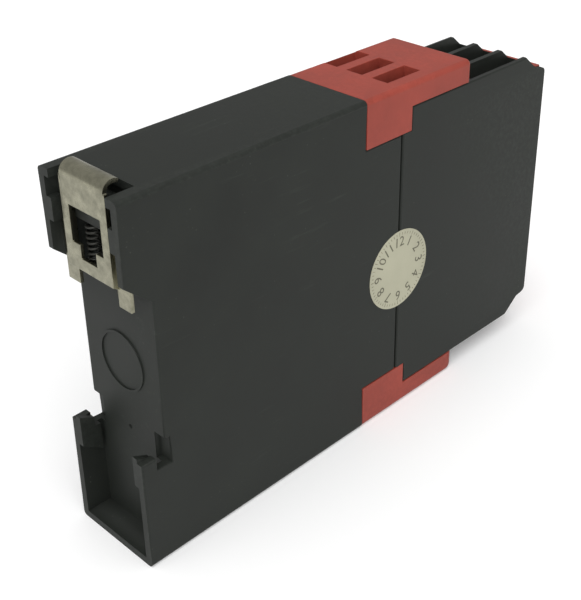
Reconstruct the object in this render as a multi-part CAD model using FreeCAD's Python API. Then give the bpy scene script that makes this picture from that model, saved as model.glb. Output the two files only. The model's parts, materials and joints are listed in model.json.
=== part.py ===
import FreeCAD
import Part

import math
import os

# Safety relay for a 35 mm mounting rail, in millimetres.
# X is the width, Y points to the rear (the rail side), Z is up.
# Depths are counted forwards from the rear face, so y = rear_y - depth.
# The origin is under the middle of the housing, on the face it stands on.

Vector = FreeCAD.Vector

# Overall size
width = 22.5
height = 80.0
depth = 124.0

# Housings
rear_wall = 1.7
front_wall = 1.2
edge_round = 1.0
seam_depth = 72.4
seam_gap = 0.4
fit = 0.1
tongue_reach = 3.0
tongue_thick = 0.8
tongue_height = 46.0

# Rail side
rail_height = 35.0
rail_play = 0.2
recess_depth = 5.7
floor_wall = 2.5
hook_slot = 2.4
lip_height = 2.7
relief_width = 3.2
relief_height = 6.2
relief_depth = 1.2
channel_depth = 6.6
channel_rise = 5.0
cheek_lift = 6.1
notch_width = 16.4
notch_depth = 6.2
pad_width = 1.25
pad_rise = 1.0
pad_slant = 3.0
pad_height = 7.0
pad_depth = 4.6
nib_width = 1.35
nib_lift = 12.2
nib_height = 4.7
ring_radius = 6.2
ring_bead = 0.5
ring_proud = 0.3
ring_lift = 1.0
pip_radius = 0.5
pip_deep = 0.6
pip_drop = 14.2

# Spring clip
sheet = 0.8
clip_depth = 1.0
clip_width = 13.2
clip_lift = 4.0
clip_bend_drop = 0.5
curl_width = 12.5
curl_radius = 2.3
curl_angle = 125.0
flange_reach = 2.2
curl_sector = 3.0
flange_height = 10.5
ear_catch = 0.8
ear_neck = 3.7
ledge_trim = 0.4
window_width = 9.1
window_lift = 5.3
window_height = 7.3
stem_width = 4.6
stem_height = 2.8
slide_play = 0.2
spring_x = 1.2
spring_outer = 3.0
spring_wire = 0.5
spring_length = 9.0
spring_turns = 7.0
spring_clear = 0.02
tab_margin = 0.6
lug_width = 8.8
lug_drop = 3.0
lug_slope = 2.0
lug_slope_share = 0.65

# Caps
cap_back = 61.3
cap_front = 94.8
tab_front = 75.35
tab_drop = 10.6
strip_drop = 5.25
cap_wall = 1.2
cap_top = 1.6
cap_round = 1.2
upper_nose_round = 0.8
lower_nose_round = 2.4
slot_shift = 1.8
slot_width = 4.4
slot_length = 10.4
slot_front = 82.0
collar_wall = 1.0
collar_drop = 3.0

# Front end
tooth_drop_depth = 7.8
tooth_slope_length = 4.4
land_drop = 9.0
land_fall = 0.5
nose_round = 1.4
plate_thick = 2.0
plate_bevel = 0.4
label_width = 12.0
label_height = 22.0
label_deep = 0.3
label_shift = -3.0
light_hole_radius = 1.6
light_pitch = 6.0
light_inset = 1.6

# Terminals
partition = 1.2
bays = 3
terminal_floor_drop = 21.0
block_floor = 1.5
wire_drop = 9.2
front_row_drop = 14.0
rear_row_drop = 6.6
front_well_setback = 15.4
front_well_length = 10.2
rear_well_back = 73.9
rear_well_length = 10.5
rear_well_drop = 11.8
cage_gap = 0.25
cage_height = 5.6
cage_length = 7.0
cage_back_wall = 1.0
cage_front_wall = 1.4
cage_side_wall = 0.7
cage_play = 0.3
clamp_travel = 2.6
bar_thick = 0.8
bar_play = 0.3
bar_clear = 0.5
bar_slot_play = 0.2
screw_radius = 1.5
thread_clear = 0.06
shank_clear = 0.25
head_radius = 2.0
head_height = 1.6
head_clear = 0.3
head_lip = 0.3
drive_slot_width = 0.6
drive_slot_deep = 0.8
rear_head_reach = 7.8
driver_radius = 2.0
hollow_margin = 1.6

# Circuit boards and what they carry
board_thick = 1.6
board_play = 0.1
board_gap = 4.65
board_back = 9.0
board_margin = 4.6
board_step = 69.5
board_nose_setback = 8.0
logic_thick = 1.0
logic_gap = 2.85
logic_back = 9.0
logic_front = 68.0
logic_margin = 12.0
rib_wide = 0.9
rib_reach = 5.0
rib_height = 34.0
relay_length = 40.0
relay_width = 13.0
relay_clear = 0.2
relay_back = 41.0
relay_pitch = 14.4
relay_round = 0.8
transformer_back = 16.0
transformer_foot = 9.0
transformer_length = 22.0
core_clear = 0.2
transformer_tall = 27.0
coil_proud = 1.6
core_limb = 5.0
capacitor_radius = 5.0
capacitor_length = 20.0
capacitor_back = 23.0
capacitor_lift = 3.0
capacitor_groove = 0.5
groove_lift = 2.0
fuse_radius = 2.6
fuse_length = 9.0
fuse_back = 15.0
fuse_gap = 3.0
header_back = 36.4
header_wide = 2.5
header_tall = 20.0
header_foot = 38.0
pin_size = 0.64
pin_pitch = 2.54
header_body = 2.5
chip_size = 9.0
chip_thick = 1.4
chip_back = 46.0
chip_pitch = 12.0
chip_foot = 61.5
led_size = 2.4
led_setback = 13.4
lens_radius = 0.8
pipe_radius = 1.45
pipe_bridge = 1.4
bridge_height = 1.8

# Seal sticker
sticker_radius = 9.5
sticker_thick = 0.1
sticker_drop = 2.7

# How far a cutting shape runs past the face that it opens
past = 1.0

half_width = width / 2
middle = height / 2
rear_y = depth / 2
slot_foot = middle - rail_height / 2
rail_top = slot_foot + rail_height
cheek_foot = rail_top + cheek_lift
ear_foot = rail_top + rail_play - ear_catch
nib_foot = rail_top + nib_lift
clip_foot = rail_top + clip_lift
flange_top = clip_foot + flange_height
window_foot = clip_foot + window_lift
lug_foot = clip_foot + sheet + spring_length
clip_bend_height = height - clip_bend_drop
front_well_back = depth - front_well_setback
board_nose = depth - board_nose_setback
led_back = depth - led_setback
board_x = half_width - board_gap
logic_x = logic_gap - half_width
light_x = board_x - light_inset
relay_height = board_x - logic_x - logic_thick - chip_thick - relay_clear
transformer_stack = relay_height - 2 * coil_proud - core_clear
capacitor_foot = middle + capacitor_lift
fuse_height = capacitor_foot + capacitor_length + fuse_gap
bay_pitch = (width - front_wall) / bays
bay_half = (bay_pitch - partition) / 2
cage_width = 2 * (bay_half - cage_gap)
bar_width = cage_width - 2 * (cage_side_wall + bar_play)
block_foot = height - terminal_floor_drop
wire_floor = height - wire_drop
strip_level = height - strip_drop
land_level = height - land_drop
front_start = seam_depth + seam_gap / 2
rear_end = seam_depth - seam_gap / 2
cavity_back = recess_depth + floor_wall
neck_half = half_width - cap_wall - fit
neck_top = height - cap_top - fit
cap_underside = height - collar_drop
plate_back = depth - plate_thick
block_front = plate_back - fit
front_well_front = front_well_back + front_well_length
rear_well_front = rear_well_back + rear_well_length
rear_head_start = rear_well_front + rear_head_reach
front_head_start = front_well_front + head_lip + fit
parts = {}


def block(x_low, x_high, d_low, d_high, z_low, z_high):
    """A box between two widths, two depths from the rear and two heights."""
    corner = Vector(x_low, rear_y - d_high, z_low)
    return Part.makeBox(x_high - x_low, d_high - d_low, z_high - z_low, corner)


def centred(x_middle, x_size, d_low, d_high, z_low, z_high):
    """A box with its width counted both ways from a middle."""
    return block(x_middle - x_size / 2, x_middle + x_size / 2, d_low, d_high, z_low, z_high)


def profile(points, x_low, x_high):
    """A side outline, as depth and height pairs, drawn through a width."""
    corners = [Vector(x_low, rear_y - d, z) for d, z in points]
    outline = Part.makePolygon(corners + corners[:1])
    return Part.Face(outline).extrude(Vector(x_high - x_low, 0, 0))


def rod(x, z, d_low, d_high, radius):
    """A round bar that runs from rear to front."""
    start = Vector(x, rear_y - d_low, z)
    return Part.makeCylinder(radius, d_high - d_low, start, Vector(0, -1, 0))


def upright(x, d, z_low, z_high, radius):
    """A round bar that stands up."""
    return Part.makeCylinder(radius, z_high - z_low, Vector(x, rear_y - d, z_low))


def fuse_all(shapes):
    """One solid from overlapping or touching shapes."""
    return shapes[0].multiFuse(shapes[1:]).removeSplitter()


def cut_all(shape, tools):
    """A shape with every tool taken out of it."""
    return shape.cut(tools).removeSplitter()


def upside_down(shape):
    """The same shape at the other end of the housing."""
    return shape.mirror(Vector(0, 0, middle), Vector(0, 0, 1))


def other_side(shape):
    """The same shape on the other side of the middle plane."""
    return shape.mirror(Vector(0, 0, 0), Vector(1, 0, 0))


def both_ends(shape):
    """A shape and its copy at the other end of the housing."""
    return [shape, upside_down(shape)]


def both_sides(shape):
    """A shape and its copy on the other side."""
    return [shape, other_side(shape)]


def round_edges(shape, radius, chosen):
    """Fillet the edges that a test picks."""
    return shape.makeFillet(radius, [edge for edge in shape.Edges if chosen(edge)])


def runs_along(edge, direction):
    """True for a straight edge in line with a direction."""
    if not isinstance(edge.Curve, Part.Line):
        return False
    return abs(abs(edge.Curve.Direction.dot(direction)) - 1) < 1e-6


def bay_middles():
    """The middle of each terminal bay across the width."""
    return [(index - (bays - 1) / 2) * bay_pitch for index in range(bays)]


def long_rounds(shape, radius):
    """Fillet the outer edges that run from rear to front."""
    def outer(edge):
        point = edge.CenterOfMass
        side = abs(abs(point.x) - half_width) < 1e-6
        end = abs(abs(point.z - middle) - middle) < 1e-6
        return side and end and runs_along(edge, Vector(0, 1, 0))
    return round_edges(shape, radius, outer)


def rail_cut():
    """The recess for the rail with its hook slot and the slanted cheeks above."""
    lip_depth = recess_depth - hook_slot
    lip_top = slot_foot + lip_height
    back_top = cheek_foot - channel_rise
    outline = [(-past, lip_top), (lip_depth, lip_top), (lip_depth, slot_foot), (recess_depth, slot_foot),
               (recess_depth, back_top), (0, cheek_foot), (-past, cheek_foot)]
    return profile(outline, -width, width)


def rear_cuts():
    """All that is open at the rail side."""
    inside = width - 2 * rear_wall
    lip_top = slot_foot + lip_height
    relief = block(half_width - relief_width, width, recess_depth, recess_depth + relief_depth,
                   slot_foot, slot_foot + relief_height)
    return [
        rail_cut(),
        centred(0, inside, -past, recess_depth, rear_wall, lip_top + past),
        centred(0, inside, -past, channel_depth, cheek_foot - channel_rise, height - rear_wall),
        centred(0, notch_width, -past, notch_depth, cheek_foot, height + past),
        rod(-pip_radius, middle - pip_drop, recess_depth - past, recess_depth + pip_deep, pip_radius),
    ] + both_sides(relief)


def hook_pad():
    """The slanted pad that stiffens a rail hook on the inside."""
    inner = half_width - rear_wall
    lip_depth = recess_depth - hook_slot
    top = slot_foot + lip_height + pad_rise
    foot = top - pad_height
    outline = [(0, foot), (pad_depth, foot - pad_slant), (pad_depth, slot_foot), (lip_depth, slot_foot),
               (lip_depth, top - pad_slant / 2), (0, top)]
    return profile(outline, inner - pad_width, inner + fit)


def clip_guides():
    """The nib in front of a wing of the clip and the ledge behind it."""
    inner = half_width - rear_wall
    wing_front = clip_depth + flange_reach
    nib = block(inner - nib_width, inner + fit, 0, wing_front - sheet - slide_play,
                nib_foot, nib_foot + nib_height)
    ledge = block(inner - 2 * nib_width + ledge_trim, inner + fit, wing_front + slide_play, channel_depth + fit,
                  ear_foot + ear_neck, nib_foot + nib_height)
    return [nib, ledge]


def spring_lug():
    """The sloped lug that the top of the spring bears on."""
    start = clip_depth + sheet + 2 * slide_play
    top = clip_bend_height - lug_drop
    slope_foot = top - lug_slope_share * (top - lug_foot)
    outline = [(start, lug_foot), (channel_depth + fit, lug_foot), (channel_depth + fit, top),
               (start + lug_slope, top), (start, slope_foot)]
    return profile(outline, -lug_width / 2, lug_width / 2)


def moulded_ring():
    """A plain raised ring on the rail face."""
    z = middle + ring_lift
    outer = rod(0, z, recess_depth - ring_proud, recess_depth + fit, ring_radius + ring_bead / 2)
    inner = rod(0, z, recess_depth - past, recess_depth + past, ring_radius - ring_bead / 2)
    return outer.cut(inner)


def board_ribs(x_low, thick, length):
    """Two ribs on the rear wall that hold the rear edge of a board."""
    z_low = middle - rib_height / 2
    z_high = middle + rib_height / 2
    lower = block(x_low - board_play - rib_wide, x_low - board_play, cavity_back - fit, length, z_low, z_high)
    upper_start = x_low + thick + board_play
    upper = block(upper_start, upper_start + rib_wide, cavity_back - fit, length, z_low, z_high)
    return [lower, upper]


def rear_neck():
    """The narrower frame that the upper cap slides over."""
    start = cap_back - cap_wall
    foot = height - tab_drop - cap_wall
    outer = centred(0, 2 * neck_half, start, rear_end, foot, neck_top)
    inner = centred(0, 2 * (neck_half - cap_wall), start - past, rear_end + past, foot - past,
                    neck_top - cap_wall)
    window = centred(0, width, slot_front - slot_length - collar_wall - fit, depth, cap_underside - fit, height)
    return cut_all(outer, [inner, window])


def rear_housing():
    """The rear case with the rail recess, the clip channel and the hooks."""
    case = long_rounds(block(-half_width, half_width, 0, rear_end, 0, height), edge_round)
    inside = width - 2 * rear_wall
    cavity = centred(0, inside, cavity_back, depth, rear_wall, height - rear_wall)
    seat = centred(0, 2 * width, cap_back - fit, depth, height - tab_drop - fit, 2 * height)
    shell = case.cut([cavity] + both_ends(seat) + rear_cuts())
    added = [moulded_ring(), spring_lug()] + both_ends(rear_neck())
    for piece in [hook_pad()] + clip_guides():
        added += both_sides(piece)
    added += board_ribs(board_x, board_thick, cavity_back + rib_reach)
    added += board_ribs(logic_x, logic_thick, cavity_back + rib_reach)
    return fuse_all([shell] + added)


def clip_curl():
    """The rolled top lip of the clip."""
    centre = Vector(-curl_width / 2, rear_y - clip_depth - curl_radius, clip_bend_height)
    along = Vector(1, 0, 0)
    outer = Part.makeCylinder(curl_radius, curl_width, centre, along)
    inner = Part.makeCylinder(curl_radius - sheet, curl_width, centre, along)
    sweep = math.radians(curl_angle)
    reach = curl_sector * curl_radius
    points = [(0, 0), (-reach, 0), (-reach, reach), (reach, reach)]
    points.append((-reach * math.cos(sweep), reach * math.sin(sweep)))
    middle_depth = clip_depth + curl_radius
    sector = profile([(middle_depth + d, clip_bend_height + z) for d, z in points],
                     -curl_width / 2, curl_width / 2)
    return outer.cut(inner).common(sector)


def din_clip():
    """The sheet metal clip that locks the housing on the rail."""
    half = clip_width / 2
    plate = centred(0, clip_width, clip_depth, clip_depth + sheet, clip_foot, clip_bend_height)
    window = centred(0, window_width, 0, clip_depth + past, window_foot, window_foot + window_height)
    stem = centred(0, stem_width, 0, clip_depth + past, window_foot - stem_height, window_foot)
    front = clip_depth + flange_reach
    side = [(clip_depth, clip_foot), (clip_depth, flange_top), (front, flange_top), (front, ear_foot),
            (front - sheet, ear_foot), (front - sheet, clip_foot - sheet)]
    flange = profile(side, half - sheet, half)
    wing = block(half - sheet, half_width - rear_wall - slide_play, front - sheet, front, ear_foot, flange_top)
    tab_half = spring_outer / 2 + tab_margin
    tab_front_depth = clip_depth + sheet + slide_play + spring_outer + tab_margin
    tab = centred(spring_x, 2 * tab_half, clip_depth, tab_front_depth, clip_foot, clip_foot + sheet)
    pieces = [cut_all(plate, [window, stem]), clip_curl(), tab] + both_sides(flange) + both_sides(wing)
    return fuse_all(pieces)


def clip_spring():
    """The coil spring between the clip's tab and the lug of the housing."""
    foot = clip_foot + sheet + spring_clear
    top = lug_foot - spring_clear
    radius = (spring_outer - spring_wire) / 2
    rise = top - foot - spring_wire
    centre_depth = clip_depth + sheet + slide_play + spring_outer / 2
    path = Part.makeHelix(rise / spring_turns, rise, radius)
    half = spring_wire / 2
    corners = [Vector(radius + x, 0, z) for x, z in [(half, 0), (0, half), (-half, 0), (0, -half)]]
    section = Part.makePolygon(corners + corners[:1])
    coil = Part.Wire(path.Edges).makePipeShell([section], True, True)
    coil.translate(Vector(spring_x, rear_y - centre_depth, foot + half))
    return coil


def slot_middles():
    """The middles of the wire slots, set over from the bays."""
    return [x + slot_shift for x in bay_middles()]


def terminal_cap(nose_radius):
    """A clip-over cap with its side tabs and three wire slots, drawn for the upper end."""
    outline = [(cap_back, height - tab_drop), (tab_front, height - tab_drop), (tab_front, strip_level + fit),
               (cap_front, strip_level + fit), (cap_front, height), (cap_back, height)]
    body = long_rounds(profile(outline, -half_width, half_width), cap_round)

    def nose(edge):
        point = edge.CenterOfMass
        in_front = abs(point.y - (rear_y - cap_front)) < 1e-6
        return in_front and abs(point.z - height) < 1e-6

    body = round_edges(body, nose_radius, nose)
    inner = centred(0, width - 2 * cap_wall, 0, depth, 0, height - cap_top)
    collars = []
    slots = []
    slot_back = slot_front - slot_length
    side_limit = half_width - cap_wall
    for x in slot_middles():
        low = x - slot_width / 2
        high = x + slot_width / 2
        collars.append(block(low - collar_wall, min(high + collar_wall, side_limit + fit),
                             slot_back - collar_wall, slot_front + collar_wall,
                             cap_underside, height - cap_top + fit))
        if high > side_limit:
            high = width
        slots.append(block(low, high, slot_back, slot_front, cap_underside - past, height + past))
    return cut_all(fuse_all([body.cut(inner)] + collars), slots)


def upper_front_outline():
    """Half of the front case's side outline, from the seam to the nose."""
    tooth_depth = depth - tooth_drop_depth
    return [(front_start, strip_level), (tooth_depth, strip_level),
            (tooth_depth + tooth_slope_length, land_level), (depth, land_level - land_fall)]


def terminal_cuts():
    """Everything cut for the three bays at the upper end."""
    front_axis = height - front_row_drop
    rear_axis = height - rear_row_drop
    cuts = []
    for x in bay_middles():
        bay = 2 * bay_half
        bar = bar_width + 2 * bar_slot_play
        cuts += [
            centred(x, bay, cap_front + cap_top, front_well_front, wire_floor, height),
            centred(x, bay, front_well_back, front_well_front, block_foot + block_floor, wire_floor + past),
            centred(x, bay, rear_well_back, rear_well_front, height - rear_well_drop, height),
            centred(x, bar, bar_depth(front_well_back) - bar_slot_play,
                    bar_depth(front_well_back) + bar_thick + bar_slot_play, block_foot - past, wire_floor),
            centred(x, bar, bar_depth(rear_well_back) - bar_slot_play,
                    bar_depth(rear_well_back) + bar_thick + bar_slot_play, block_foot - past, rear_axis),
            rod(x, front_axis, front_well_front - past, front_head_start, screw_radius + shank_clear),
            rod(x, front_axis, front_head_start - fit, depth, head_radius + head_clear),
            rod(x, rear_axis, rear_well_front - past, rear_head_start, screw_radius + shank_clear),
            rod(x, rear_axis, rear_head_start - fit, cap_front + 2 * cap_top, head_radius + head_clear),
        ]
    low = rear_well_front + hollow_margin
    high = front_well_back - hollow_margin
    cuts.append(centred(0, width - 2 * front_wall, low, high, block_foot - past, wire_floor - hollow_margin))
    cuts.append(centred(0, width - 2 * front_wall, rear_well_back, low + past, block_foot - past,
                        height - rear_well_drop - block_floor))
    return cuts


def bar_depth(well_back):
    """Where the contact bar of a terminal starts."""
    return well_back + cage_play + cage_back_wall + clamp_travel + bar_clear


def front_neck():
    """What the upper cap covers on the front case: the screw block and the bay walls."""
    foot = block_foot
    screw_block = centred(0, 2 * neck_half, rear_well_front, cap_front - fit, foot, neck_top)
    wall_top = cap_underside - fit
    back_wall = centred(0, 2 * neck_half, front_start, rear_well_back, foot, wall_top)
    shapes = [screw_block, back_wall]
    for index in range(1, bays):
        x = (index - bays / 2) * bay_pitch
        shapes.append(centred(x, partition, front_start, rear_well_front + fit, foot, wall_top))
    collar_room = centred(0, 2 * width, 0, slot_front + collar_wall + fit, wall_top, height)
    return cut_all(fuse_all(shapes), [collar_room])


def tongue():
    """The inner tongue that reaches into the rear case along one side."""
    outer = half_width - rear_wall - fit
    inner = outer - tongue_thick
    z_low = middle - tongue_height / 2
    z_high = middle + tongue_height / 2
    blade = block(inner, outer, front_start - tongue_reach, front_start + 2 * tongue_thick, z_low, z_high)
    root = block(inner, half_width - front_wall + fit, front_start, front_start + 2 * tongue_thick, z_low, z_high)
    return blade.fuse(root)


def front_housing():
    """The front case with the terminal bays, their toothed walls and screw tunnels."""
    upper = upper_front_outline()
    lower = [(d, height - z) for d, z in reversed(upper)]
    case = profile(upper + lower, -half_width, half_width)
    nose_points = [land_level - land_fall, height - land_level + land_fall]

    def nose(edge):
        point = edge.CenterOfMass
        in_front = abs(point.y - (rear_y - depth)) < 1e-6
        return in_front and min(abs(point.z - z) for z in nose_points) < 1e-6

    case = round_edges(case, nose_round, nose)
    case = case.multiFuse(both_ends(front_neck()))
    room = width - 2 * front_wall
    inside = centred(0, room, front_start - past, block_front - hollow_margin, height - block_foot, block_foot)
    mouth = centred(0, room, block_front, depth + past, 0, height)
    face_window = centred(0, room - 2 * hollow_margin, block_front - 2 * hollow_margin, depth,
                          height - block_foot + hollow_margin, block_foot - hollow_margin)
    tab_seat = centred(0, 2 * width, 0, tab_front + fit, height - tab_drop - fit, height + past)
    tab_seat = tab_seat.cut(centred(0, 2 * neck_half, 0, depth, 0, height + 2 * past))
    cuts = [inside, mouth, face_window] + both_ends(tab_seat)
    for cut in terminal_cuts():
        cuts += both_ends(cut)
    return fuse_all([cut_all(case, cuts)] + both_sides(tongue()))


def front_plate():
    """The coloured front plate with its screw holes, light windows and bare label field."""
    room = width - 2 * front_wall - 2 * fit
    foot = height - land_level + fit
    plate = centred(0, room, plate_back, depth, foot, land_level - fit)

    def rim(edge):
        return abs(edge.CenterOfMass.y - (rear_y - depth)) < 1e-6

    plate = plate.makeChamfer(plate_bevel, [edge for edge in plate.Edges if rim(edge)])
    cuts = [centred(label_shift, label_width, depth - label_deep, depth + past,
                    middle - label_height / 2, middle + label_height / 2)]
    for x in bay_middles():
        cuts += both_ends(rod(x, height - front_row_drop, plate_back - past, depth + past, driver_radius))
    for z in light_heights():
        cuts.append(rod(light_x, z, plate_back - past, depth + past, light_hole_radius))
    return cut_all(plate, cuts)


def light_heights():
    """The heights of the three status lights."""
    return [middle + step * light_pitch for step in (-1, 0, 1)]


def light_pipe():
    """The clear rods that carry the lights to the front, moulded on one bridge."""
    start = led_back + led_size + fit
    end = depth - label_deep
    rods = [rod(light_x, z, start, end, pipe_radius) for z in light_heights()]
    bridge_back = block_front - hollow_margin - pipe_bridge - 2 * fit
    bridge = centred(light_x, bridge_height, bridge_back, bridge_back + pipe_bridge,
                     middle - light_pitch, middle + light_pitch)
    return fuse_all(rods + [bridge])


def status_leds():
    """Three light emitting diodes on the nose of the main board."""
    low = board_x - led_size
    leds = []
    for z in light_heights():
        body = block(low, board_x, led_back, led_back + led_size, z - led_size / 2, z + led_size / 2)
        lens = rod(low + led_size / 2, z, led_back + led_size / 2, led_back + led_size + fit / 2, lens_radius)
        leds.append(body.fuse(lens).removeSplitter())
    return Part.makeCompound(leds)


def terminal_screw(x, axis_height, well_back, head_start):
    """A slotted clamp screw that stays in place as it turns."""
    tip = bar_depth(well_back) + bar_thick + fit
    shank = rod(x, axis_height, tip, head_start + fit, screw_radius)
    head = rod(x, axis_height, head_start, head_start + head_height, head_radius)
    end = head_start + head_height
    slot = centred(x, drive_slot_width, end - drive_slot_deep, end + past,
                   axis_height - 2 * head_radius, axis_height + 2 * head_radius)
    return cut_all(fuse_all([shank, head]), [slot])


def clamp_cage(x, axis_height, well_back):
    """A square cage that the screw draws forwards to clamp a wire on the bar."""
    back = well_back + cage_play
    z_low = axis_height - cage_height / 2
    z_high = axis_height + cage_height / 2
    body = centred(x, cage_width, back, back + cage_length, z_low, z_high)
    hole = centred(x, cage_width - 2 * cage_side_wall, back + cage_back_wall,
                   back + cage_length - cage_front_wall, z_low - past, z_high + past)
    thread = rod(x, axis_height, back + cage_back_wall + past, back + cage_length + past,
                 screw_radius + thread_clear)
    return cut_all(body, [hole, thread])


def contact_bar(x, axis_height, well_back):
    """The flat copper bar from the terminal board into the cage."""
    start = bar_depth(well_back)
    return centred(x, bar_width, start, start + bar_thick, block_foot - fit, axis_height + cage_height / 2 - fit)


def contact_bars():
    """The six bars of one end."""
    bars = []
    for x in bay_middles():
        bars.append(contact_bar(x, height - front_row_drop, front_well_back))
        bars.append(contact_bar(x, height - rear_row_drop, rear_well_back))
    return Part.makeCompound(bars)


def terminal_board():
    """The small board under the bays that the bars stand on."""
    top = block_foot - fit
    half = half_width - front_wall - fit
    nose = block_front - hollow_margin - fit
    back = front_start + 2 * tongue_thick + fit
    return block(-half, half, back, nose, top - board_thick, top)


def main_board():
    """The large board along one side, stepped down between the terminal boards."""
    high = block_foot - 2 * fit - board_thick
    low = height - high
    wide = block(board_x, board_x + board_thick, board_back, board_step, board_margin, height - board_margin)
    nose = block(board_x, board_x + board_thick, board_step - past, board_nose, low, high)
    return fuse_all([wide, nose])


def logic_board():
    """The second board, along the other side."""
    return block(logic_x, logic_x + logic_thick, logic_back, logic_front, logic_margin, height - logic_margin)


def guided_relay(index):
    """A sealed relay with force guided contacts, lying on the main board."""
    back = relay_back + index * relay_pitch
    foot = middle - relay_length / 2
    body = block(board_x - relay_height, board_x, back, back + relay_width, foot, foot + relay_length)
    return round_edges(body, relay_round, lambda edge: runs_along(edge, Vector(1, 0, 0)))


def transformer_core():
    """The laminated core, with its two windows."""
    low = board_x - coil_proud - transformer_stack
    high = board_x - coil_proud
    top = transformer_foot + transformer_tall
    front = transformer_back + transformer_length
    body = block(low, high, transformer_back, front, transformer_foot, top)
    span = (transformer_tall - 3 * core_limb) / 2
    windows = []
    for foot in (transformer_foot + core_limb, transformer_foot + 2 * core_limb + span):
        windows.append(block(low - past, high + past, transformer_back + core_limb, front - core_limb,
                             foot, foot + span))
    return cut_all(body, windows)


def transformer_coil():
    """The winding round the middle limb, with the bobbin foot on the board."""
    low = board_x - 2 * coil_proud - transformer_stack
    span = (transformer_tall - 3 * core_limb) / 2
    limb_foot = transformer_foot + core_limb + span
    back = transformer_back + core_limb + fit
    front = transformer_back + transformer_length - core_limb - fit
    body = block(low, board_x, back, front, limb_foot - span + fit, limb_foot + core_limb + span - fit)
    limb = block(low + coil_proud - fit, board_x - coil_proud + fit, back - past, front + past,
                 limb_foot - fit, limb_foot + core_limb + fit)
    return round_edges(body, relay_round, lambda edge: runs_along(edge, Vector(0, 1, 0))).cut(limb)


def supply_capacitor():
    """The round capacitor of the supply, lying on the board."""
    x = board_x - capacitor_radius
    can = upright(x, capacitor_back, capacitor_foot, capacitor_foot + capacitor_length, capacitor_radius)
    groove_foot = capacitor_foot + groove_lift
    ring = upright(x, capacitor_back, groove_foot, groove_foot + 2 * capacitor_groove, 2 * capacitor_radius)
    core = upright(x, capacitor_back, groove_foot, groove_foot + 2 * capacitor_groove,
                   capacitor_radius - capacitor_groove)
    return can.cut(ring.cut(core))


def supply_fuse():
    """The small round fuse of the supply."""
    return rod(board_x - fuse_radius, fuse_height, fuse_back, fuse_back + fuse_length, fuse_radius)


def board_header():
    """The pin header that joins the two boards."""
    far = logic_x + logic_thick
    body = block(board_x - header_body, board_x, header_back, header_back + header_wide,
                 header_foot, header_foot + header_tall)
    shapes = [body]
    count = int(header_tall / pin_pitch)
    for index in range(count):
        z = header_foot + (header_tall - (count - 1) * pin_pitch) / 2 + index * pin_pitch
        mid = header_back + header_wide / 2
        shapes.append(block(far, board_x - header_body + fit, mid - pin_size / 2, mid + pin_size / 2,
                            z - pin_size / 2, z + pin_size / 2))
    return fuse_all(shapes)


def controller_chip(index):
    """One of the two controllers that watch each other, on the logic board."""
    face = logic_x + logic_thick
    back = chip_back
    foot = middle - chip_size - (chip_pitch - chip_size) / 2 + index * chip_pitch
    body = block(face, face + chip_thick, back, back + chip_size, foot, foot + chip_size)
    return round_edges(body, chip_thick / 4, lambda edge: runs_along(edge, Vector(1, 0, 0)))


def seal_sticker():
    """A round paper seal across the seam between the two cases."""
    start = Vector(-half_width - sticker_thick, rear_y - seam_depth, middle - sticker_drop)
    return Part.makeCylinder(sticker_radius, sticker_thick, start, Vector(1, 0, 0))


def add_terminals():
    """A screw and a cage for each bay, in two rows at each end."""
    rows = {
        "front": (height - front_row_drop, front_well_back, front_head_start),
        "rear": (height - rear_row_drop, rear_well_back, rear_head_start),
    }
    for row, (axis_height, well_back, head_start) in rows.items():
        for number, x in enumerate(bay_middles(), start=1):
            screw = terminal_screw(x, axis_height, well_back, head_start)
            cage = clamp_cage(x, axis_height, well_back)
            parts[f"upper_{row}_screw_{number}"] = screw
            parts[f"upper_{row}_cage_{number}"] = cage
            parts[f"lower_{row}_screw_{number}"] = upside_down(screw)
            parts[f"lower_{row}_cage_{number}"] = upside_down(cage)


def build():
    """Make every piece."""
    parts["rear_housing"] = rear_housing()
    parts["front_housing"] = front_housing()
    parts["upper_terminal_cap"] = terminal_cap(upper_nose_round)
    parts["lower_terminal_cap"] = upside_down(terminal_cap(lower_nose_round))
    parts["front_plate"] = front_plate()
    parts["din_clip"] = din_clip()
    parts["clip_spring"] = clip_spring()
    parts["seal_sticker"] = seal_sticker()
    parts["main_board"] = main_board()
    parts["logic_board"] = logic_board()
    parts["board_header"] = board_header()
    parts["upper_terminal_board"] = terminal_board()
    parts["lower_terminal_board"] = upside_down(terminal_board())
    parts["upper_contact_bars"] = contact_bars()
    parts["lower_contact_bars"] = upside_down(contact_bars())
    parts["guided_relay_1"] = guided_relay(0)
    parts["guided_relay_2"] = guided_relay(1)
    parts["controller_chip_1"] = controller_chip(0)
    parts["controller_chip_2"] = controller_chip(1)
    parts["transformer_core"] = transformer_core()
    parts["transformer_coil"] = transformer_coil()
    parts["supply_capacitor"] = supply_capacitor()
    parts["supply_fuse"] = supply_fuse()
    parts["status_leds"] = status_leds()
    parts["light_pipe"] = light_pipe()
    add_terminals()


build()
os.makedirs("parts", exist_ok=True)
for name, shape in parts.items():
    shape.exportStep(f"parts/{name}.step")
    print(name, len(shape.Solids), "valid" if shape.isValid() else "NOT VALID", round(shape.Volume, 1))
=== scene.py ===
import json
import math

import bmesh
import bpy
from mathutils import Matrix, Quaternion, Vector

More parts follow.
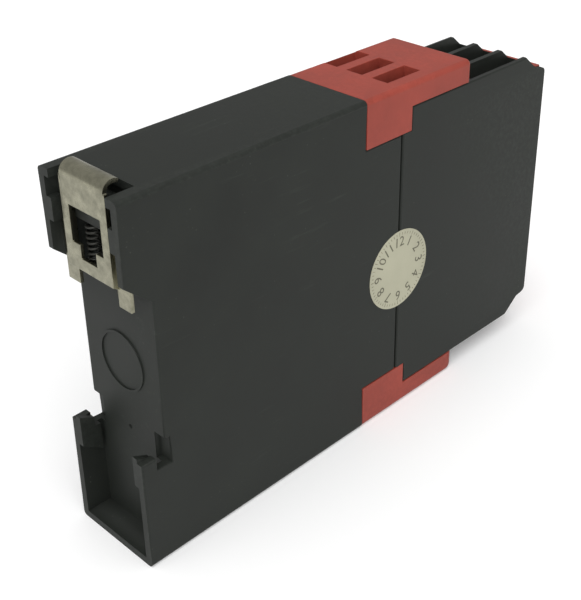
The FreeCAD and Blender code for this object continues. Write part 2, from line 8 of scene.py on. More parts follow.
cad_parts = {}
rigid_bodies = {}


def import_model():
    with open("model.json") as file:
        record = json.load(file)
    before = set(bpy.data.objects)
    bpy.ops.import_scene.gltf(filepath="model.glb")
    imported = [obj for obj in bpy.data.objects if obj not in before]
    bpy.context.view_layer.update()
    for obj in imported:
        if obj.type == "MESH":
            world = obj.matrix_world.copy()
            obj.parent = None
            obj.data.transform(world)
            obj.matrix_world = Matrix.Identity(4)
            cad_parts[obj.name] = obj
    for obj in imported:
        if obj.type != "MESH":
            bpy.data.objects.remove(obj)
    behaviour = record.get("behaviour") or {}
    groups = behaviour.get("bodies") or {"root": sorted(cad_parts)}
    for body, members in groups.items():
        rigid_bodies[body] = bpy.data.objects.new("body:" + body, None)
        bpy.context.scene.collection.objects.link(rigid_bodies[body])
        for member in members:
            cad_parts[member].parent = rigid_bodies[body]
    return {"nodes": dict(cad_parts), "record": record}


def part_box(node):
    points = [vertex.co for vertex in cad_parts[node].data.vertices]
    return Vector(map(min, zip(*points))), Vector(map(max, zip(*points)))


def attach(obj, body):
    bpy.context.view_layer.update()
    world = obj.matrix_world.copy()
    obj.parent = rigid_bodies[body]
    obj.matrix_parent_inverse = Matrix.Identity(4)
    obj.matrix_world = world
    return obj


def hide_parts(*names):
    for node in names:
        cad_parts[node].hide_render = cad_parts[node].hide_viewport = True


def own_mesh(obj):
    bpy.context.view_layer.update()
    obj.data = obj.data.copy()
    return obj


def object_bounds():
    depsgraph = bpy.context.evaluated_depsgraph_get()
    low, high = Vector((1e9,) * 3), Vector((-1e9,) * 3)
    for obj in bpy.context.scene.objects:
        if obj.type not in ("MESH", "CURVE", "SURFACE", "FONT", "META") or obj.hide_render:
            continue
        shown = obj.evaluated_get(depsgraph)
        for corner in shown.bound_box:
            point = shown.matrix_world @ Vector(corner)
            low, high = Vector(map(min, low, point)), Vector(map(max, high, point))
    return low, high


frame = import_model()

bl_info = {
    "name": "Safety relay",
    "version": (1, 0, 0),
    "blender": (4, 5, 0),
    "location": "3D View > Sidebar > Relay",
    "description": "Dresses a rail mounted safety relay: cases, caps, clip, terminals, boards and stage",
    "category": "Object",
}

MODEL_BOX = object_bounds()
NODES = frame["nodes"]
BODIES = frame["record"]["behaviour"]["bodies"]
BODY_OF = {node: body for body, nodes in BODIES.items() for node in nodes}
MM = 0.001
SIDES = ("upper", "lower")
ROWS = ("front", "rear")
BAYS = (1, 2, 3)

# How points, faces and corners are told apart
SAME_POINT = 1e-7
MERGE_REACH = 1e-6
FLAT_TURN = math.radians(0.5)
QUAD_SKEW = math.radians(60)
CLEAR_CORNER = math.radians(35)
SMOOTH_TURN = math.radians(40)
THREAD_TURN = math.radians(30)
SQUARE_ON = 0.9

# Least area of the faces beside an edge that is rounded
CASE_FACE = 1.2 * MM * MM
CAP_FACE = 0.9 * MM * MM
CLIP_FACE = 0.5 * MM * MM
SHEET_FACE = 0.6 * MM * MM
INNER_FACE = 0.3 * MM * MM

# Cases: depth in which an edge lies on the flat side, shortest edge rounded, reach of the seam's edges
FLANK_DEPTH = 0.1 * MM
SHORTEST_EDGE = 3 * MM
SEAM_REACH = MM

# Caps: height of the collar that holds the slots, and how near to the slot's foot a face lies on it
COLLAR_HEIGHT = 4.2 * MM
FOOT_REACH = 0.01 * MM

# Spring: sides of its wire and steps of one turn
WIRE_SIDES = 10
TURN_STEPS = 20

# Seal: paper face, and middle and depth of the print, as shares of the seal's thickness
PAPER_SHARE = 0.25
PRINT_SHARE = 0.12
PRINT_DEPTH = 0.2

# Seal: rings in the paper and circles of the dial, as shares of the seal's radius
PAPER_SIDES = 96
PAPER_RINGS = (0.02, 0.25, 0.5)
NUMBER_CIRCLE = 0.7
TICK_CIRCLE = 0.91

# Seal: how far from the seam and how deep the paper is pressed in
PRESS_REACH = 0.4 * MM
PRESS_DEPTH = 0.02 * MM

# Dial: how many marks, type size for a number's height, sizes of a tick and how far it narrows
DIAL_NUMBERS = 12
DIAL_TICKS = 60
TICKS_APART = 5
TYPE_SHARE = 1.35
TICK_WIDTH = 0.16 * MM
TICK_LENGTH = 0.5 * MM
TICK_TIP = 0.1 * MM
TICK_TAPER = 0.45
TIP_TAPER = 0.3
LONG_TICK = 1.7

# Clamp screws
HEAD_RADIUS = 2.0 * MM
HEAD_HEIGHT = 1.6 * MM
HEAD_ROUND = 0.25 * MM
HEAD_SIDES = 32
CORE_RADIUS = 1.28 * MM
CREST_RADIUS = 1.5 * MM
CORE_SIDES = 20
TIP_SHARE = 0.8
SLOT_OVERCUT = 0.2 * MM
CROSS_SLOTS = (
    {"turn": 0, "reach": 2.2 * HEAD_RADIUS, "width": 0.6 * MM, "deep": 0.8 * MM},
    {"turn": 90, "reach": 1.25 * HEAD_RADIUS, "width": 0.5 * MM, "deep": 0.9 * MM},
)
BAY_TURN = 37
LOWER_TURN = 20

# Stage: aim from the middle and reach of floor and lamps in shares of the model's box
AIM_SHARES = (0.19, 0.007, 0.043)
PICTURE_SHIFT = (-0.036, -0.108)
VIEW_RANGE = (0.01, 20)
TOP_WAY = Vector((-0.25, 0.3, 1.0))
LAMP_REACH = 4
FLOOR_SPAN = 30


class RelayFinish(bpy.types.PropertyGroup):
    """Colours and surface of the relay."""
    case_colour: bpy.props.FloatVectorProperty(
        name="Case", description="Black moulded cases", subtype="COLOR", size=3,
        default=(0.019, 0.0215, 0.0185), min=0, max=1)
    cap_colour: bpy.props.FloatVectorProperty(
        name="Caps", description="Red caps and front plate", subtype="COLOR", size=3,
        default=(0.285, 0.05, 0.034), min=0, max=1)
    clip_colour: bpy.props.FloatVectorProperty(
        name="Clip", description="Plated spring sheet", subtype="COLOR", size=3,
        default=(0.3, 0.29, 0.215), min=0, max=1)
    paper_colour: bpy.props.FloatVectorProperty(
        name="Seal paper", description="Paper of the round seal", subtype="COLOR", size=3,
        default=(0.44, 0.43, 0.32), min=0, max=1)
    ink_colour: bpy.props.FloatVectorProperty(
        name="Seal ink", description="Printing on the round seal", subtype="COLOR", size=3,
        default=(0.11, 0.105, 0.07), min=0, max=1)
    grain_size: bpy.props.FloatProperty(
        name="Grain", description="Size of the moulded texture", subtype="DISTANCE",
        default=0.00022, min=0.00001)
    wear: bpy.props.FloatProperty(
        name="Wear", description="How much the edges are rubbed", subtype="FACTOR",
        default=0.35, min=0, max=1)


class RelaySizes(bpy.types.PropertyGroup):
    """Sizes of the finishing details."""
    case_round: bpy.props.FloatProperty(
        name="Case edges", description="Rounding of the moulded edges", subtype="DISTANCE",
        default=0.0004, min=0)
    seam_round: bpy.props.FloatProperty(
        name="Seam edges", description="Rounding of the edges at the seam", subtype="DISTANCE",
        default=0.00018, min=0)
    sheet_round: bpy.props.FloatProperty(
        name="Sheet edges", description="Rounding of the edges of the clip, caps and front plate",
        subtype="DISTANCE", default=0.00012, min=0)
    small_round: bpy.props.FloatProperty(
        name="Small edges", description="Rounding of the inner parts", subtype="DISTANCE",
        default=0.0001, min=0)
    spring_wire: bpy.props.FloatProperty(
        name="Spring wire", description="Thickness of the spring wire", subtype="DISTANCE",
        default=0.0005, min=0)
    spring_turns: bpy.props.IntProperty(
        name="Spring turns", description="Turns of the coil spring", default=8, min=1)
    thread_pitch: bpy.props.FloatProperty(
        name="Thread pitch", description="Pitch of the clamp screws", subtype="DISTANCE",
        default=0.0005, min=0.0001)
    slot_rim: bpy.props.FloatProperty(
        name="Slot rim", description="Wall left outside the slot at the cap's side", subtype="DISTANCE",
        default=0.00045, min=0.0001)
    digit_height: bpy.props.FloatProperty(
        name="Dial numbers", description="Height of the numbers on the seal", subtype="DISTANCE",
        default=0.0025, min=0)


class RelayStage(bpy.types.PropertyGroup):
    """Camera, lamps and floor."""
    azimuth: bpy.props.FloatProperty(
        name="Azimuth", description="Side that the camera stands on", subtype="ANGLE",
        default=math.radians(224.54))
    elevation: bpy.props.FloatProperty(
        name="Elevation", description="Height of the camera over the object", subtype="ANGLE",
        default=math.radians(28.46))
    roll: bpy.props.FloatProperty(
        name="Roll", description="Tilt of the camera", subtype="ANGLE", default=math.radians(-0.5))
    distance: bpy.props.FloatProperty(
        name="Distance", description="From the camera to the aim point", subtype="DISTANCE", default=0.2468)
    lens: bpy.props.FloatProperty(
        name="Lens", description="Focal length in millimetres", default=67.4, min=1)
    top_light: bpy.props.FloatProperty(
        name="Top light", description="Strength of the wide soft light from above", default=1.6, min=0)
    lamp_spread: bpy.props.FloatProperty(
        name="Lamp spread", description="How wide both soft lights are", subtype="ANGLE",
        default=math.radians(70), min=0)
    fill_light: bpy.props.FloatProperty(
        name="Fill light", description="Strength of the soft light beside the camera", default=0.9, min=0)
    room_light: bpy.props.FloatProperty(
        name="Room light", description="Strength of the even room light", default=0.5, min=0)
    floor_lift: bpy.props.FloatProperty(
        name="Floor lift", description="How far the floor is whitened to the camera", default=0.12, min=0)
    floor_colour: bpy.props.FloatVectorProperty(
        name="Floor", description="Pale floor", subtype="COLOR", size=3,
        default=(0.93, 0.93, 0.93), min=0, max=1)


# ---- choosing and shaping ----

def select_only(*objects):
    """Select these objects and nothing else; the last one is active."""
    bpy.ops.object.select_all(action="DESELECT")
    for obj in objects:
        obj.select_set(True)
    bpy.context.view_layer.objects.active = objects[-1]


def place_in_mesh(obj):
    """Move the object's place, turn and size into its mesh."""
    select_only(obj)
    bpy.ops.object.transform_apply(location=True, rotation=True, scale=True)


def apply_modifiers(obj):
    """Make every modifier part of the mesh."""
    select_only(obj)
    for modifier in list(obj.modifiers):
        bpy.ops.object.modifier_apply(modifier=modifier.name)


def smooth(obj, angle=SMOOTH_TURN):
    """Smooth shading that keeps sharp corners sharp and flat faces flat."""
    select_only(obj)
    bpy.ops.object.shade_smooth_by_angle(angle=angle)
    even = obj.modifiers.new("even_shading", "WEIGHTED_NORMAL")
    even.keep_sharp = True
    even.weight = 100
    apply_modifiers(obj)


def face_out(obj):
    """Merge doubled points and turn every face outwards."""
    select_only(obj)
    bpy.ops.object.mode_set(mode="EDIT")
    bpy.ops.mesh.select_all(action="SELECT")
    bpy.ops.mesh.remove_doubles(threshold=SAME_POINT)
    bpy.ops.mesh.normals_make_consistent(inside=False)
    bpy.ops.object.mode_set(mode="OBJECT")


def pick(obj, kind, test):
    """In edit mode, select only the edges or faces that pass a test."""
    bpy.ops.mesh.select_mode(type=kind)
    bpy.ops.mesh.select_all(action="DESELECT")
    mesh = bmesh.from_edit_mesh(obj.data)
    for item in mesh.edges if kind == "EDGE" else mesh.faces:
        item.select_set(test(item))
    bmesh.update_edit_mesh(obj.data)


def finish_piece(obj, name, body, material, slot, *replaced):
    """Name a piece, give it its finish and let it ride on its body."""
    obj.name = name
    obj.data.name = name
    obj.data.materials.clear()
    obj.data.materials.append(material)
    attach(obj, body)
    if replaced:
        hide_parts(*replaced)


def seam_line():
    """Where the two cases meet."""
    return (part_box("rear_housing")[0].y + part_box("front_housing")[1].y) / 2


def working_copy(node, whole_sides):
    """A copy of a solid in edit mode, with its loose triangles merged into larger faces."""
    select_only(NODES[node])
    bpy.ops.object.duplicate()
    copy = bpy.context.active_object
    bpy.ops.object.parent_clear(type="CLEAR_KEEP_TRANSFORM")
    bpy.ops.object.mode_set(mode="EDIT")
    bpy.ops.mesh.select_all(action="SELECT")
    bpy.ops.mesh.remove_doubles(threshold=MERGE_REACH)
    if whole_sides:
        bpy.ops.mesh.dissolve_limited(angle_limit=FLAT_TURN)
    else:
        bpy.ops.mesh.tris_convert_to_quads(face_threshold=FLAT_TURN, shape_threshold=QUAD_SKEW)
    return copy


def round_picked(width, segments):
    """Round the selected edges."""
    bpy.ops.mesh.bevel(offset=width, segments=segments, affect="EDGES", clamp_overlap=False)


def clear_corner(edge, least_area):
    """Whether an edge is a real corner between two faces that are large enough."""
    if len(edge.link_faces) != 2 or edge.calc_face_angle(0) < CLEAR_CORNER:
        return False
    return min(face.calc_area() for face in edge.link_faces) > least_area


def round_sides(copy, width, seam_width, least_area):
    """Round the long edges round the two flat sides, more finely where the cases meet."""
    points = bmesh.from_edit_mesh(copy.data).verts
    flank = max(abs(vertex.co.x) for vertex in points) - FLANK_DEPTH
    seam = seam_line()

    def side_edge(edge):
        on_side = all(abs(vertex.co.x) > flank for vertex in edge.verts)
        return clear_corner(edge, least_area) and on_side and edge.calc_length() > SHORTEST_EDGE

    def at_seam(edge):
        return all(abs(vertex.co.y - seam) < SEAM_REACH for vertex in edge.verts)

    pick(copy, "EDGE", lambda edge: side_edge(edge) and at_seam(edge))
    round_picked(seam_width, 2)
    pick(copy, "EDGE", lambda edge: side_edge(edge) and not at_seam(edge))
    round_picked(width, 3)


def dress(node, width, least_area, material, slot, mend=None, seam_width=None):
    """A rounded copy stands for a solid; with a seam width, only its flat sides are rounded."""
    copy = working_copy(node, whole_sides=seam_width is not None)
    if mend:
        mend(copy)
    if seam_width is None:
        pick(copy, "EDGE", lambda edge: clear_corner(edge, least_area))
        round_picked(width, 2)
    else:
        round_sides(copy, width, seam_width, least_area)
    bpy.ops.object.mode_set(mode="OBJECT")
    smooth(copy)
    finish_piece(copy, f"{node}_look", BODY_OF[node], material, slot, node)


def shaft(radius, start, end, sides):
    """A closed round bar in line with Y, between two places."""
    bpy.ops.object.select_all(action="DESELECT")
    bpy.ops.mesh.primitive_cylinder_add(vertices=sides, radius=radius, depth=abs(end - start),
                                        location=(0, (start + end) / 2, 0), rotation=(math.pi / 2, 0, 0))
    bar = bpy.context.active_object
    place_in_mesh(bar)
    return bar


def cut_with(target, cutter):
    """Take one closed shape out of another."""
    cut = target.modifiers.new("cut", "BOOLEAN")
    cut.operation = "DIFFERENCE"
    cut.solver = "EXACT"
    cut.object = cutter
    apply_modifiers(target)
    bpy.data.objects.remove(cutter, do_unlink=True)


def screw_head():
    """A round head with a rounded rim and two crossing slots; its face is at the origin."""
    head = shaft(HEAD_RADIUS, 0.0, HEAD_HEIGHT, HEAD_SIDES)
    bpy.ops.object.mode_set(mode="EDIT")
    pick(head, "EDGE", lambda edge: all(abs(vertex.co.y) < SAME_POINT for vertex in edge.verts))
    bpy.ops.mesh.bevel(offset=HEAD_ROUND, segments=3, affect="EDGES")
    bpy.ops.object.mode_set(mode="OBJECT")
    for slot in CROSS_SLOTS:
        bpy.ops.object.select_all(action="DESELECT")
        bpy.ops.mesh.primitive_cube_add(size=1, location=(0, (slot["deep"] - SLOT_OVERCUT) / 2, 0),
                                        rotation=(0, math.radians(slot["turn"]), 0),
                                        scale=(slot["width"], slot["deep"] + SLOT_OVERCUT, slot["reach"]))
        cutter = bpy.context.active_object
        place_in_mesh(cutter)
        cut_with(head, cutter)
    return head


def screw_thread(length, pitch):
    """The thread behind the head: half turns drawn out to the crest and in to the core, then a tip."""
    thread = shaft(CORE_RADIUS, HEAD_HEIGHT, HEAD_HEIGHT + pitch / 2, CORE_SIDES)
    bpy.ops.object.mode_set(mode="EDIT")
    pick(thread, "FACE", lambda face: face.normal.y > SQUARE_ON)

    def draw_out(share):
        bpy.ops.mesh.extrude_region_move(TRANSFORM_OT_translate={"value": (0, pitch / 2, 0)})
        bpy.ops.transform.resize(value=(share, 1, share))

    for _turn in range(int((length - HEAD_HEIGHT) / pitch) - 1):
        draw_out(CREST_RADIUS / CORE_RADIUS)
        draw_out(CORE_RADIUS / CREST_RADIUS)
    draw_out(TIP_SHARE)
    bpy.ops.object.mode_set(mode="OBJECT")
    return thread


def threaded_screw(length, pitch):
    """A clamp screw with its head's face at the origin."""
    head = screw_head()
    select_only(screw_thread(length, pitch), head)
    bpy.ops.object.join()
    screw = bpy.context.active_object
    smooth(screw, THREAD_TURN)
    return screw


# ---- finishes ----

def new_group(name, inputs, outputs):
    """A shader node group with named sockets."""
    tree = bpy.data.node_groups.new(name, "ShaderNodeTree")
    for label, kind, value in inputs:
        socket = tree.interface.new_socket(name=label, in_out="INPUT", socket_type=f"NodeSocket{kind}")
        if value is not None:
            socket.default_value = value
    for label, kind in outputs:
        tree.interface.new_socket(name=label, in_out="OUTPUT", socket_type=f"NodeSocket{kind}")
    start = tree.nodes.new("NodeGroupInput")
    end = tree.nodes.new("NodeGroupOutput")
    return tree, start, end


def add(tree, kind, **values):
    """A node with its settings."""
    node = tree.nodes.new(f"ShaderNode{kind}")
    for key, value in values.items():
        setattr(node, key, value)
    return node


def feed(tree, source, socket):
    """Link a socket, or set a plain number or colour."""
    if isinstance(source, bpy.types.NodeSocket):
        tree.links.new(source, socket)
    elif isinstance(source, tuple):
        socket.default_value = (*source, 1.0)
    else:
        socket.default_value = source


def math_node(tree, operation, first, second):
    """A math node fed by sockets or numbers."""
    node = add(tree, "Math", operation=operation)
    feed(tree, first, node.inputs[0])
    feed(tree, second, node.inputs[1])
    return node.outputs[0]


def map_range(tree, value, low, high, to_low=0.0, to_high=1.0):
    """Spread a value over another range, held at its ends."""
    node = add(tree, "MapRange", clamp=True)
    tree.links.new(value, node.inputs["Value"])
    for key, number in zip(("From Min", "From Max", "To Min", "To Max"), (low, high, to_low, to_high)):
        node.inputs[key].default_value = number
    return node.outputs["Result"]


def noise(tree, place, scale, detail=2.0, roughness=0.5):
    """A noise texture read at a place; the scale may be a socket."""
    node = add(tree, "TexNoise")
    tree.links.new(place, node.inputs["Vector"])
    feed(tree, scale, node.inputs["Scale"])
    node.inputs["Detail"].default_value = detail
    node.inputs["Roughness"].default_value = roughness
    return node.outputs["Fac"]


def stretched(tree, place, scale=(1.0, 1.0, 1.0), turn=(0.0, 0.0, 0.0)):
    """A place turned and scaled along the axes, so that a pattern is drawn out."""
    node = add(tree, "Mapping")
    tree.links.new(place, node.inputs["Vector"])
    node.inputs["Rotation"].default_value = turn
    node.inputs["Scale"].default_value = scale
    return node.outputs["Vector"]


def put_out_mask(tree, first, second, strength, end):
    """A group's mask: two patterns where they meet, times a strength."""
    both = math_node(tree, "MULTIPLY", first, second)
    tree.links.new(math_node(tree, "MULTIPLY", both, strength), end.inputs["Mask"])


def grain_group():
    """Moulded grain: a fine even relief with slow flow clouds."""
    tree, start, end = new_group("Moulded grain", [("Place", "Vector", None), ("Scale", "Float", 4500.0)],
                                 [("Relief", "Float"), ("Clouds", "Float")])
    place = start.outputs["Place"]
    fine = noise(tree, place, start.outputs["Scale"], detail=3.0, roughness=0.6)
    clouds = noise(tree, place, scale=70.0, detail=4.0, roughness=0.55)
    tree.links.new(fine, end.inputs["Relief"])
    tree.links.new(map_range(tree, clouds, low=0.3, high=0.7), end.inputs["Clouds"])


def wear_group():
    """Rubbed edges: corners that stick out, broken up by noise."""
    tree, start, end = new_group("Edge wear", [("Place", "Vector", None), ("Amount", "Float", 0.35)],
                                 [("Mask", "Float")])
    corners = add(tree, "NewGeometry").outputs["Pointiness"]
    blotches = noise(tree, start.outputs["Place"], scale=900.0, detail=4.0, roughness=0.7)
    rubbed = map_range(tree, corners, low=0.52, high=0.62)
    broken = map_range(tree, blotches, low=0.42, high=0.68)
    put_out_mask(tree, rubbed, broken, start.outputs["Amount"], end)


def speck_group():
    """Fine dust specks, scattered thinly over a face in loose patches."""
    tree, start, end = new_group("Dust specks", [("Place", "Vector", None), ("Density", "Float", 0.5)],
                                 [("Mask", "Float")])
    place = start.outputs["Place"]
    cells = add(tree, "TexVoronoi", feature="F1")
    tree.links.new(place, cells.inputs["Vector"])
    cells.inputs["Scale"].default_value = 750.0
    dots = map_range(tree, cells.outputs["Distance"], low=0.04, high=0.16, to_low=1.0, to_high=0.0)
    clouds = noise(tree, place, scale=140.0, detail=3.0, roughness=0.6)
    put_out_mask(tree, dots, map_range(tree, clouds, low=0.55, high=0.75), start.outputs["Density"], end)


def scuff_group():
    """Handling marks: short pale streaks along the case, in loose patches."""
    tree, start, end = new_group("Handling marks", [("Place", "Vector", None), ("Amount", "Float", 0.4)],
                                 [("Mask", "Float")])
    place = start.outputs["Place"]
    drawn = stretched(tree, place, scale=(900.0, 70.0, 900.0), turn=(math.radians(7), 0.0, math.radians(4)))
    streaks = map_range(tree, noise(tree, drawn, scale=1.0, detail=3.0, roughness=0.6), low=0.6, high=0.76)
    clouds = noise(tree, place, scale=55.0, detail=3.0, roughness=0.6)
    put_out_mask(tree, streaks, map_range(tree, clouds, low=0.5, high=0.66), start.outputs["Amount"], end)


def rolled_group():
    """Rolled sheet: fine lines along one way with dull plating spots."""
    tree, start, end = new_group("Rolled sheet", [("Place", "Vector", None)],
                                 [("Lines", "Float"), ("Spots", "Float")])
    place = start.outputs["Place"]
    drawn = stretched(tree, place, scale=(9000.0, 9000.0, 260.0))
    spots = noise(tree, place, scale=520.0, detail=5.0, roughness=0.65)
    tree.links.new(noise(tree, drawn, scale=1.0), end.inputs["Lines"])
    tree.links.new(map_range(tree, spots, low=0.35, high=0.7), end.inputs["Spots"])


def place_socket(tree):
    """The point on the piece, in metres."""
    return add(tree, "TexCoord").outputs["Object"]


def use_group(tree, name, **values):
    """Place a shared effect in a material and set its values."""
    node = add(tree, "Group", node_tree=bpy.data.node_groups[name])
    tree.links.new(place_socket(tree), node.inputs["Place"])
    for key, value in values.items():
        node.inputs[key].default_value = value
    return node


def mix_colour(tree, factor, first, second):
    """A colour between two, by a mask."""
    node = add(tree, "Mix", data_type="RGBA")
    ends = [socket for socket in node.inputs if socket.type == "RGBA"]
    tree.links.new(factor, node.inputs["Factor"])
    feed(tree, first, ends[0])
    feed(tree, second, ends[1])
    return next(socket for socket in node.outputs if socket.type == "RGBA")


def shade(colour, amount):
    """A lighter or darker version of a colour."""
    return tuple(min(1.0, part * amount) for part in colour)


def new_material(name):
    """An empty node material with its shader."""
    material = bpy.data.materials.new(f"{name}_finish")
    material.use_nodes = True
    tree = material.node_tree
    return tree, tree.nodes["Principled BSDF"]


def finish_named(name):
    """A finish that has been built."""
    return bpy.data.materials[f"{name}_finish"]


def lay_on(tree, shader, colour, roughness):
    """Feed the shader a colour and a roughness that change over the surface."""
    tree.links.new(colour, shader.inputs["Base Color"])
    tree.links.new(roughness, shader.inputs["Roughness"])


def bump(tree, shader, height, strength, depth):
    """Relief on the surface from a height."""
    node = add(tree, "Bump")
    node.inputs["Strength"].default_value = strength
    node.inputs["Distance"].default_value = depth
    tree.links.new(height, node.inputs["Height"])
    tree.links.new(node.outputs["Normal"], shader.inputs["Normal"])


def moulded_plastic(name, colour, roughness, gloss, grain_scale, wear, dust):
    """Moulded plastic with grain, slow clouds, rubbed edges, handling marks and dust."""
    tree, shader = new_material(name)
    grain = use_group(tree, "Moulded grain", Scale=grain_scale)
    worn = use_group(tree, "Edge wear", Amount=wear)
    marks = use_group(tree, "Handling marks", Amount=wear)
    specks = use_group(tree, "Dust specks", Density=dust)
    clouds = grain.outputs["Clouds"]
    plain = mix_colour(tree, clouds, shade(colour, 0.84), shade(colour, 1.18))
    rubbed = mix_colour(tree, worn.outputs["Mask"], plain, shade(colour, 2.4))
    marked = mix_colour(tree, marks.outputs["Mask"], rubbed, shade(colour, 3.2))
    dusty = mix_colour(tree, specks.outputs["Mask"], marked, (0.13, 0.13, 0.115))
    lay_on(tree, shader, dusty, map_range(tree, clouds, 0.0, 1.0, roughness - 0.05, roughness + 0.06))
    shader.inputs["Specular IOR Level"].default_value = gloss
    bump(tree, shader, grain.outputs["Relief"], strength=0.22, depth=0.04 * MM)


def plated_metal(name, colour, roughness, lines_strength):
    """Plated or plain metal with rolling lines and dull spots."""
    tree, shader = new_material(name)
    sheet = use_group(tree, "Rolled sheet")
    spots = sheet.outputs["Spots"]
    lay_on(tree, shader, mix_colour(tree, spots, shade(colour, 0.78), shade(colour, 1.2)),
           map_range(tree, spots, 0.0, 1.0, roughness + 0.1, roughness - 0.06))
    shader.inputs["Metallic"].default_value = 1.0
    bump(tree, shader, sheet.outputs["Lines"], lines_strength, depth=0.02 * MM)


def cloudy_plastic(name, colour, roughness, grain_scale, contrast=0.12):
    """A plainer moulded or coated finish for the inner parts and the ink."""
    tree, shader = new_material(name)
    grain = use_group(tree, "Moulded grain", Scale=grain_scale)
    relief = grain.outputs["Relief"]
    dark, light = shade(colour, 1 - contrast), shade(colour, 1 + contrast)
    lay_on(tree, shader, mix_colour(tree, grain.outputs["Clouds"], dark, light),
           map_range(tree, relief, 0.3, 0.7, roughness - 0.05, roughness + 0.05))
    bump(tree, shader, relief, strength=0.12, depth=0.03 * MM)


def seal_paper(colour):
    """Uncoated paper: fibres and faint stains."""
    tree, shader = new_material("seal_paper")
    grain = use_group(tree, "Moulded grain", Scale=2600.0)
    specks = use_group(tree, "Dust specks", Density=0.4)
    relief = grain.outputs["Relief"]
    clean = mix_colour(tree, grain.outputs["Clouds"], shade(colour, 0.9), shade(colour, 1.06))
    stained = mix_colour(tree, specks.outputs["Mask"], clean, shade(colour, 0.72))
    lay_on(tree, shader, stained, map_range(tree, relief, 0.3, 0.7, 0.6, 0.78))
    shader.inputs["Specular IOR Level"].default_value = 0.3
    bump(tree, shader, relief, strength=0.2, depth=0.03 * MM)


def board_laminate():
    """Green solder mask with faint tracks under it."""
    tree, shader = new_material("board_laminate")
    tracks = add(tree, "TexBrick", offset=0.37, squash=0.7)
    upright = stretched(tree, place_socket(tree), turn=(0.0, math.radians(90), 0.0))
    tree.links.new(upright, tracks.inputs["Vector"])
    tracks.inputs["Scale"].default_value = 160.0
    tracks.inputs["Mortar Size"].default_value = 0.035
    tracks.inputs["Color1"].default_value = (0.012, 0.09, 0.035, 1.0)
    tracks.inputs["Color2"].default_value = (0.016, 0.11, 0.045, 1.0)
    tracks.inputs["Mortar"].default_value = (0.03, 0.2, 0.08, 1.0)
    tree.links.new(tracks.outputs["Color"], shader.inputs["Base Color"])
    shader.inputs["Roughness"].default_value = 0.3
    bump(tree, shader, tracks.outputs["Fac"], strength=0.3, depth=0.03 * MM)


def core_laminations():
    """A stack of varnished steel sheets."""
    tree, shader = new_material("core_laminations")
    stack = add(tree, "TexWave", wave_type="BANDS", bands_direction="X")
    tree.links.new(place_socket(tree), stack.inputs["Vector"])
    stack.inputs["Scale"].default_value = 650.0
    stack.inputs["Distortion"].default_value = 0.6
    tree.links.new(mix_colour(tree, stack.outputs["Fac"], (0.05, 0.05, 0.055), (0.2, 0.2, 0.21)),
                   shader.inputs["Base Color"])
    shader.inputs["Metallic"].default_value = 0.7
    shader.inputs["Roughness"].default_value = 0.45
    bump(tree, shader, stack.outputs["Fac"], strength=0.5, depth=0.05 * MM)


def clear_rod():
    """Clear moulded light pipe with faint flow lines."""
    tree, shader = new_material("clear_rod")
    grain = use_group(tree, "Moulded grain", Scale=500.0)
    relief = grain.outputs["Relief"]
    lay_on(tree, shader, mix_colour(tree, grain.outputs["Clouds"], (0.72, 0.75, 0.72), (0.8, 0.83, 0.8)),
           map_range(tree, relief, 0.3, 0.7, 0.2, 0.28))
    shader.inputs["Transmission Weight"].default_value = 0.45
    shader.inputs["IOR"].default_value = 1.49
    bump(tree, shader, relief, strength=0.02, depth=0.01 * MM)


def floor_surface(colour, lift):
    """A pale sheet floor with a faint tone change, whitened a little where the camera sees it."""
    tree, shader = new_material("pale_floor")
    clouds = noise(tree, place_socket(tree), scale=3.0)
    tree.links.new(mix_colour(tree, clouds, shade(colour, 0.985), colour), shader.inputs["Base Color"])
    shader.inputs["Roughness"].default_value = 0.8
    shader.inputs["Specular IOR Level"].default_value = 0.1
    shader.inputs["Emission Color"].default_value = (1, 1, 1, 1)
    path = add(tree, "LightPath")
    tree.links.new(math_node(tree, "MULTIPLY", path.outputs["Is Camera Ray"], lift),
                   shader.inputs["Emission Strength"])


# ---- operators ----

class RELAY_OT_finishes(bpy.types.Operator):
    """Build the shared effects and every finish."""
    bl_idname = "relay.finishes"
    bl_label = "Finishes"

    def execute(self, context):
        finish = context.scene.relay_finish
        for make_group in (grain_group, wear_group, speck_group, scuff_group, rolled_group):
            make_group()
        scale = 1.0 / finish.grain_size
        moulded_plastic("black_plastic", tuple(finish.case_colour), roughness=0.52, gloss=0.18,
                        grain_scale=scale, wear=finish.wear, dust=0.5)
        moulded_plastic("red_plastic", tuple(finish.cap_colour), roughness=0.46, gloss=0.22,
                        grain_scale=scale, wear=finish.wear * 0.4, dust=0.15)
        plated_metal("clip_nickel", tuple(finish.clip_colour), roughness=0.28, lines_strength=0.25)
        # Spring wire: dark steel whose near-black colour is partly painted shade, the shadow the spring lies
        # in behind the clip's window
        plated_metal("spring_wire", (0.055, 0.055, 0.05), roughness=0.5, lines_strength=0.2)
        plated_metal("zinc_plate", (0.62, 0.63, 0.62), roughness=0.3, lines_strength=0.3)
        plated_metal("tinned_copper", (0.7, 0.62, 0.48), roughness=0.32, lines_strength=0.2)
        seal_paper(tuple(finish.paper_colour))
        cloudy_plastic("seal_ink", tuple(finish.ink_colour), roughness=0.6, grain_scale=3000.0, contrast=0.25)
        board_laminate()
        core_laminations()
        clear_rod()
        cloudy_plastic("relay_case", (0.68, 0.68, 0.64), roughness=0.35, grain_scale=2500.0)
        cloudy_plastic("chip_epoxy", (0.02, 0.02, 0.022), roughness=0.55, grain_scale=5000.0)
        cloudy_plastic("winding_tape", (0.55, 0.35, 0.06), roughness=0.35, grain_scale=900.0)
        cloudy_plastic("can_sleeve", (0.02, 0.025, 0.09), roughness=0.3, grain_scale=1200.0)
        cloudy_plastic("fuse_ceramic", (0.6, 0.56, 0.45), roughness=0.6, grain_scale=2000.0)
        cloudy_plastic("led_epoxy", (0.22, 0.6, 0.2), roughness=0.2, grain_scale=1800.0)
        return {"FINISHED"}


